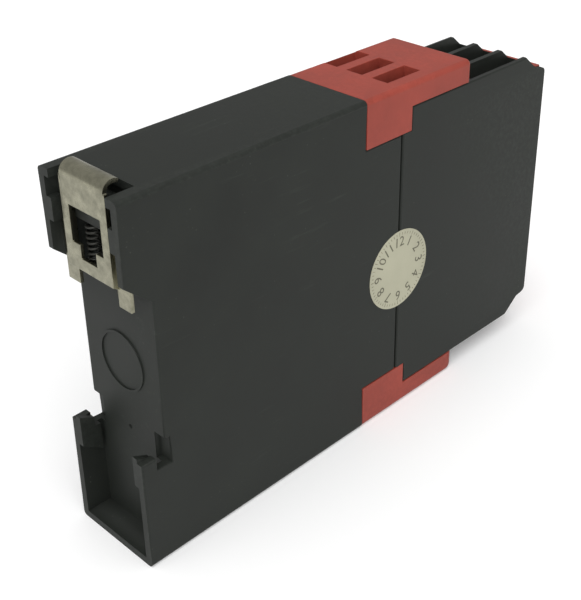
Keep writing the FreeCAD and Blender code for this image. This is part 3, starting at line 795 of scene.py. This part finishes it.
class RELAY_OT_cases(bpy.types.Operator):
    """Round the edges of the rear and front case."""
    bl_idname = "relay.cases"
    bl_label = "Cases"

    def execute(self, context):
        sizes = context.scene.relay_sizes
        for node in ("rear_housing", "front_housing"):
            dress(node, sizes.case_round, CASE_FACE, finish_named("black_plastic"), "black_plastic",
                  seam_width=sizes.seam_round)
        return {"FINISHED"}


class RELAY_OT_caps(bpy.types.Operator):
    """Round the edges of the terminal caps and the front plate."""
    bl_idname = "relay.caps"
    bl_label = "Caps and front plate"

    def execute(self, context):
        sizes = context.scene.relay_sizes
        red = finish_named("red_plastic")
        for side in SIDES:
            dress(f"{side}_terminal_cap", sizes.sheet_round, CAP_FACE, red, "red_plastic",
                  mend=lambda cap: self.close_side_slot(cap, sizes.slot_rim))
        dress("front_plate", sizes.sheet_round, CAP_FACE, red, "red_plastic")
        return {"FINISHED"}

    @staticmethod
    def close_side_slot(cap, rim):
        """The slot at the cap's side gets its thin outer wall, from one end of the slot to the other."""
        corners = [vertex.co for vertex in bmesh.from_edit_mesh(cap.data).verts]
        middle_height = (MODEL_BOX[0][2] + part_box("rear_housing")[1].z) / 2
        cap_start, cap_end = min(corner.y for corner in corners), max(corner.y for corner in corners)
        inside = max(corner.x for corner in corners) - rim
        outside = max(abs(corner.z - middle_height) for corner in corners)
        bpy.ops.mesh.select_all(action="SELECT")
        bpy.ops.mesh.bisect(plane_co=(inside, 0, 0), plane_no=(1, 0, 0))

        def slot_end(face):
            middle = face.calc_center_median()
            between = cap_start + MM < middle.y < cap_end - MM
            in_collar = abs(middle.z - middle_height) > outside - COLLAR_HEIGHT
            return abs(face.normal.y) > SQUARE_ON and middle.x > inside and between and in_collar

        pick(cap, "FACE", slot_end)
        ends = [vertex.co for vertex in bmesh.from_edit_mesh(cap.data).verts if vertex.select]
        foot = min(abs(corner.z - middle_height) for corner in ends)
        slot_start, slot_stop = min(corner.y for corner in ends), max(corner.y for corner in ends)
        bpy.ops.mesh.bridge_edge_loops()

        def doubled_foot(face):
            middle = face.calc_center_median()
            at_foot = abs(abs(middle.z - middle_height) - foot) < FOOT_REACH
            return at_foot and middle.x > inside and slot_start < middle.y < slot_stop

        pick(cap, "FACE", doubled_foot)
        bpy.ops.mesh.delete(type="FACE")
        bpy.ops.mesh.select_all(action="SELECT")
        bpy.ops.mesh.remove_doubles(threshold=MERGE_REACH)


class RELAY_OT_clip(bpy.types.Operator):
    """Round the sheared edges of the rail clip."""
    bl_idname = "relay.clip"
    bl_label = "Rail clip"

    def execute(self, context):
        sizes = context.scene.relay_sizes
        dress("din_clip", sizes.sheet_round, CLIP_FACE, finish_named("clip_nickel"), "spring_steel")
        return {"FINISHED"}


class RELAY_OT_spring(bpy.types.Operator):
    """Wind the coil spring from round wire."""
    bl_idname = "relay.spring"
    bl_label = "Clip spring"

    def execute(self, context):
        sizes = context.scene.relay_sizes
        low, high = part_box("clip_spring")
        wire = sizes.spring_wire
        radius = (high.x - low.x - wire) / 2
        rise = high.z - low.z - wire
        foot = ((low.x + high.x) / 2, (low.y + high.y) / 2, low.z + wire / 2)
        bpy.ops.object.select_all(action="DESELECT")
        bpy.ops.mesh.primitive_circle_add(vertices=WIRE_SIDES, radius=wire / 2, fill_type="NOTHING",
                                          location=foot, rotation=(math.pi / 2, 0, 0))
        coil = bpy.context.active_object
        bpy.ops.object.transform_apply(location=False, rotation=True, scale=True)
        bpy.ops.object.mode_set(mode="EDIT")
        bpy.ops.mesh.select_all(action="SELECT")
        bpy.ops.transform.translate(value=(radius, 0, 0))
        bpy.ops.object.mode_set(mode="OBJECT")
        winding = coil.modifiers.new("winding", "SCREW")
        winding.axis = "Z"
        winding.angle = 2 * math.pi
        winding.iterations = sizes.spring_turns
        winding.screw_offset = rise / sizes.spring_turns
        winding.steps = TURN_STEPS
        winding.render_steps = TURN_STEPS
        apply_modifiers(coil)
        bpy.ops.object.mode_set(mode="EDIT")
        bpy.ops.mesh.select_all(action="SELECT")
        bpy.ops.mesh.fill_holes(sides=WIRE_SIDES)
        bpy.ops.object.mode_set(mode="OBJECT")
        place_in_mesh(coil)
        face_out(coil)
        smooth(coil)
        # The spring's dark wire finish is partly painted shade of the clip's window
        finish_piece(coil, "clip_spring_look", BODY_OF["clip_spring"], finish_named("spring_wire"),
                     "coil_steel", "clip_spring")
        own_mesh(coil)
        return {"FINISHED"}


class RELAY_OT_seal(bpy.types.Operator):
    """Round paper seal with a dial of numbers, pressed over the seam."""
    bl_idname = "relay.seal"
    bl_label = "Seal"

    def execute(self, context):
        low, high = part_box("seal_sticker")
        body = BODY_OF["seal_sticker"]
        disc = self.paper_disc(low, high)
        finish_piece(disc, "seal_paper_disc", body, finish_named("seal_paper"), "paper", "seal_sticker")
        marks = self.dial(low, high, context.scene.relay_sizes.digit_height)
        finish_piece(marks, "seal_dial_marks", body, finish_named("seal_ink"), "paper")
        return {"FINISHED"}

    @staticmethod
    def paper_disc(low, high):
        """The paper, with rings of faces, and pressed in a little along the seam."""
        centre = (low + high) / 2
        radius = (high.z - low.z) / 2
        paper_face = low.x + PAPER_SHARE * (high.x - low.x)
        bpy.ops.object.select_all(action="DESELECT")
        bpy.ops.mesh.primitive_cylinder_add(vertices=PAPER_SIDES, radius=radius, depth=high.x - paper_face,
                                            location=((high.x + paper_face) / 2, centre.y, centre.z),
                                            rotation=(0, math.pi / 2, 0))
        disc = bpy.context.active_object
        place_in_mesh(disc)
        bpy.ops.object.mode_set(mode="EDIT")
        pick(disc, "FACE", lambda face: face.normal.x < -SQUARE_ON)
        for share in PAPER_RINGS:
            bpy.ops.mesh.inset(thickness=radius * share, depth=0)
        bpy.ops.object.mode_set(mode="OBJECT")
        smooth(disc)
        seam = seam_line()
        for vertex in disc.data.vertices:
            if abs(vertex.co.y - seam) < PRESS_REACH and vertex.co.x < paper_face + MERGE_REACH:
                vertex.co.x += PRESS_DEPTH
        return disc

    def dial(self, low, high, digit_height):
        """The numbers and divisions of the dial, joined as one print."""
        centre = (low + high) / 2
        radius = (high.z - low.z) / 2
        thick = high.x - low.x

        def on_dial(circle, angle):
            reach = radius * circle
            return Vector((low.x + PRINT_SHARE * thick,
                           centre.y + reach * math.sin(angle), centre.z + reach * math.cos(angle)))

        marks = []
        for number in range(1, DIAL_NUMBERS + 1):
            angle = math.radians(-360 / DIAL_NUMBERS * number)
            spot = on_dial(NUMBER_CIRCLE, angle)
            marks.append(self.dial_number(str(number), spot, angle, digit_height, thick))
        pattern = self.tick_pattern(thick)
        for step in range(DIAL_TICKS):
            angle = math.radians(360 / DIAL_TICKS * step)
            length = 1.0 if step % TICKS_APART else LONG_TICK
            marks.append(self.tick(pattern, on_dial(TICK_CIRCLE, angle), angle, length))
        bpy.data.objects.remove(pattern, do_unlink=True)
        select_only(*marks)
        bpy.ops.object.join()
        return bpy.context.active_object

    @staticmethod
    def dial_number(word, spot, angle, height, thick):
        """One raised number that stands with its foot towards the middle of the seal."""
        bpy.ops.object.select_all(action="DESELECT")
        bpy.ops.object.text_add(location=(0, 0, 0))
        text = bpy.context.active_object
        text.data.body = word
        text.data.size = height * TYPE_SHARE
        text.data.align_x = "CENTER"
        text.data.align_y = "CENTER"
        text.data.resolution_u = 3
        text.data.extrude = PRINT_DEPTH / 2 * thick
        bpy.ops.object.convert(target="MESH")
        number = bpy.context.active_object
        number.rotation_mode = "QUATERNION"
        facing = Quaternion((1, 0, 0), math.pi / 2)
        turned = Quaternion((0, 0, 1), -math.pi / 2)
        round_dial = Quaternion((1, 0, 0), -angle)
        number.rotation_quaternion = round_dial @ turned @ facing
        number.location = spot
        place_in_mesh(number)
        return number

    @staticmethod
    def tick_pattern(thick):
        """One division of the dial at the origin: a stroke that narrows towards the middle of the seal."""
        bpy.ops.object.select_all(action="DESELECT")
        bpy.ops.mesh.primitive_cube_add(size=1, scale=(PRINT_DEPTH * thick, TICK_WIDTH, TICK_LENGTH))
        mark = bpy.context.active_object
        place_in_mesh(mark)
        bpy.ops.object.mode_set(mode="EDIT")
        pick(mark, "FACE", lambda face: face.normal.z < -SQUARE_ON)
        bpy.ops.transform.resize(value=(1, TICK_TAPER, 1))
        bpy.ops.mesh.extrude_region_move(TRANSFORM_OT_translate={"value": (0, 0, -TICK_TIP)})
        bpy.ops.transform.resize(value=(1, TIP_TAPER, 1))
        bpy.ops.object.mode_set(mode="OBJECT")
        return mark

    @staticmethod
    def tick(pattern, spot, angle, length):
        """One printed division, copied from the pattern."""
        select_only(pattern)
        bpy.ops.object.duplicate()
        mark = bpy.context.active_object
        mark.location = spot
        mark.rotation_euler = (-angle, 0, 0)
        mark.scale = (1, 1, length)
        place_in_mesh(mark)
        return mark


class RELAY_OT_terminals(bpy.types.Operator):
    """Cut the clamp screws and finish the cages and contact bars."""
    bl_idname = "relay.terminals"
    bl_label = "Terminals"

    def execute(self, context):
        sizes = context.scene.relay_sizes
        zinc = finish_named("zinc_plate")
        for row in ROWS:
            first_low, first_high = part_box(f"upper_{row}_screw_1")
            pattern = threaded_screw(first_high.y - first_low.y, sizes.thread_pitch)
            for side in SIDES:
                for bay in BAYS:
                    self.place_screw(pattern, f"{side}_{row}_screw_{bay}", self.rest_turn(side, bay), zinc)
            bpy.data.objects.remove(pattern, do_unlink=True)
        for side in SIDES:
            for row in ROWS:
                for bay in BAYS:
                    dress(f"{side}_{row}_cage_{bay}", sizes.small_round, SHEET_FACE, zinc, "zinc_steel")
            dress(f"{side}_contact_bars", sizes.small_round, SHEET_FACE, finish_named("tinned_copper"),
                  "copper_tin")
        return {"FINISHED"}

    @staticmethod
    def rest_turn(side, bay):
        """No two neighbouring screws stop at the same angle."""
        return math.radians(BAY_TURN * bay + (LOWER_TURN if side == "lower" else 0))

    @staticmethod
    def place_screw(pattern, node, turn, material):
        """A copy of the pattern stands for one screw, with its head where the solid's head is."""
        low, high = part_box(node)
        select_only(pattern)
        bpy.ops.object.duplicate()
        screw = bpy.context.active_object
        screw.location = ((low.x + high.x) / 2, low.y, (low.z + high.z) / 2)
        screw.rotation_euler = (0, turn, 0)
        place_in_mesh(screw)
        finish_piece(screw, f"{node}_look", BODY_OF[node], material, "zinc_steel", node)


class RELAY_OT_electronics(bpy.types.Operator):
    """Finish the boards and what they carry."""
    bl_idname = "relay.electronics"
    bl_label = "Boards and components"

    def execute(self, context):
        sizes = context.scene.relay_sizes
        inner = {
            "main_board": ("board_laminate", "board_laminate"),
            "logic_board": ("board_laminate", "board_laminate"),
            "upper_terminal_board": ("board_laminate", "board_laminate"),
            "lower_terminal_board": ("board_laminate", "board_laminate"),
            "board_header": ("tinned_copper", "copper_tin"),
            "guided_relay_1": ("relay_case", "relay_case"),
            "guided_relay_2": ("relay_case", "relay_case"),
            "controller_chip_1": ("chip_epoxy", "chip_epoxy"),
            "controller_chip_2": ("chip_epoxy", "chip_epoxy"),
            "transformer_core": ("core_laminations", "core_steel"),
            "transformer_coil": ("winding_tape", "winding_tape"),
            "supply_capacitor": ("can_sleeve", "can_sleeve"),
            "supply_fuse": ("fuse_ceramic", "ceramic"),
            "status_leds": ("led_epoxy", "led_epoxy"),
            "light_pipe": ("clear_rod", "clear_plastic"),
        }
        for node, (finish_name, slot) in inner.items():
            dress(node, sizes.small_round, INNER_FACE, finish_named(finish_name), slot)
        return {"FINISHED"}


class RELAY_OT_stage(bpy.types.Operator):
    """Camera, soft lamps, even room light and a pale floor."""
    bl_idname = "relay.stage"
    bl_label = "Stage"

    def execute(self, context):
        scene = context.scene
        stage = scene.relay_stage
        low, high = (Vector(corner) for corner in MODEL_BOX)
        size = high - low
        centre = (low + high) / 2
        self.add_camera(scene, stage, centre, size)
        self.add_lamps(scene, stage, centre, size)
        self.add_room(scene, stage.room_light)
        bpy.ops.object.select_all(action="DESELECT")
        bpy.ops.mesh.primitive_plane_add(size=FLOOR_SPAN * size.y, location=(0, 0, low.z))
        floor = bpy.context.active_object
        floor.name = "pale_floor"
        floor_surface(tuple(stage.floor_colour), stage.floor_lift)
        floor.data.materials.append(finish_named("pale_floor"))
        place_in_mesh(floor)
        scene.view_settings.view_transform = "Standard"
        return {"FINISHED"}

    @staticmethod
    def add_camera(scene, stage, centre, size):
        """The camera at its angle, aimed a little over and beside the middle."""
        aim = centre + Vector([share * part for share, part in zip(AIM_SHARES, size)])
        back = Vector((math.sin(stage.azimuth) * math.cos(stage.elevation),
                       -math.cos(stage.azimuth) * math.cos(stage.elevation),
                       math.sin(stage.elevation)))
        data = bpy.data.cameras.new("camera")
        camera = bpy.data.objects.new("camera", data)
        scene.collection.objects.link(camera)
        camera.rotation_mode = "QUATERNION"
        camera.location = aim + back * stage.distance
        camera.rotation_quaternion = (-back).to_track_quat("-Z", "Y") @ Quaternion((0, 0, 1), stage.roll)
        data.lens = stage.lens
        data.shift_x, data.shift_y = PICTURE_SHIFT
        data.clip_start, data.clip_end = VIEW_RANGE
        scene.camera = camera

    @staticmethod
    def add_lamps(scene, stage, centre, size):
        """Two wide soft lights: one from above and one from beside the camera."""
        beside = Vector((math.sin(stage.azimuth), -math.cos(stage.azimuth), math.tan(stage.elevation)))
        lamps = (("top_lamp", stage.top_light, TOP_WAY), ("fill_lamp", stage.fill_light, beside))
        for name, strength, way in lamps:
            data = bpy.data.lights.new(name, "SUN")
            data.energy = strength
            data.angle = stage.lamp_spread
            lamp = bpy.data.objects.new(name, data)
            scene.collection.objects.link(lamp)
            lamp.location = centre + way * LAMP_REACH * size.y
            lamp.rotation_mode = "QUATERNION"
            lamp.rotation_quaternion = (-way).to_track_quat("-Z", "Y")

    @staticmethod
    def add_room(scene, strength):
        """Even light from all sides, white where the camera sees it, also through clear pieces."""
        world = bpy.data.worlds.new("room")
        scene.world = world
        world.use_nodes = True
        tree = world.node_tree
        back = tree.nodes["Background"]
        back.inputs["Color"].default_value = (1, 1, 1, 1)
        path = add(tree, "LightPath")
        seen = math_node(tree, "MAXIMUM", path.outputs["Is Camera Ray"], path.outputs["Is Transmission Ray"])
        tree.links.new(map_range(tree, seen, 0.0, 1.0, strength, 1.0), back.inputs["Strength"])


class RELAY_PT_panel(bpy.types.Panel):
    """Everything that dresses the relay."""
    bl_idname = "RELAY_PT_panel"
    bl_label = "Safety relay"
    bl_space_type = "VIEW_3D"
    bl_region_type = "UI"
    bl_category = "Relay"

    def draw(self, context):
        scene = context.scene
        for group in (scene.relay_finish, scene.relay_sizes, scene.relay_stage):
            for key in group.__annotations__:
                self.layout.prop(group, key)
        for step in STEPS:
            self.layout.operator(step.bl_idname)


STEPS = (RELAY_OT_finishes, RELAY_OT_stage, RELAY_OT_cases, RELAY_OT_caps, RELAY_OT_clip, RELAY_OT_spring,
         RELAY_OT_seal, RELAY_OT_terminals, RELAY_OT_electronics)
CLASSES = (RelayFinish, RelaySizes, RelayStage, *STEPS, RELAY_PT_panel)


def register():
    """Make the classes known and hang the settings on the scene."""
    for item in CLASSES:
        bpy.utils.register_class(item)
    bpy.types.Scene.relay_finish = bpy.props.PointerProperty(type=RelayFinish)
    bpy.types.Scene.relay_sizes = bpy.props.PointerProperty(type=RelaySizes)
    bpy.types.Scene.relay_stage = bpy.props.PointerProperty(type=RelayStage)


def unregister():
    """Take the settings and classes away again."""
    del bpy.types.Scene.relay_stage
    del bpy.types.Scene.relay_sizes
    del bpy.types.Scene.relay_finish
    for item in reversed(CLASSES):
        bpy.utils.unregister_class(item)


def main():
    """Dress the relay."""
    register()
    bpy.ops.relay.finishes()
    bpy.ops.relay.stage()
    bpy.ops.relay.cases()
    bpy.ops.relay.caps()
    bpy.ops.relay.clip()
    bpy.ops.relay.spring()
    bpy.ops.relay.seal()
    bpy.ops.relay.terminals()
    bpy.ops.relay.electronics()


if __name__ == "__main__":
    main()
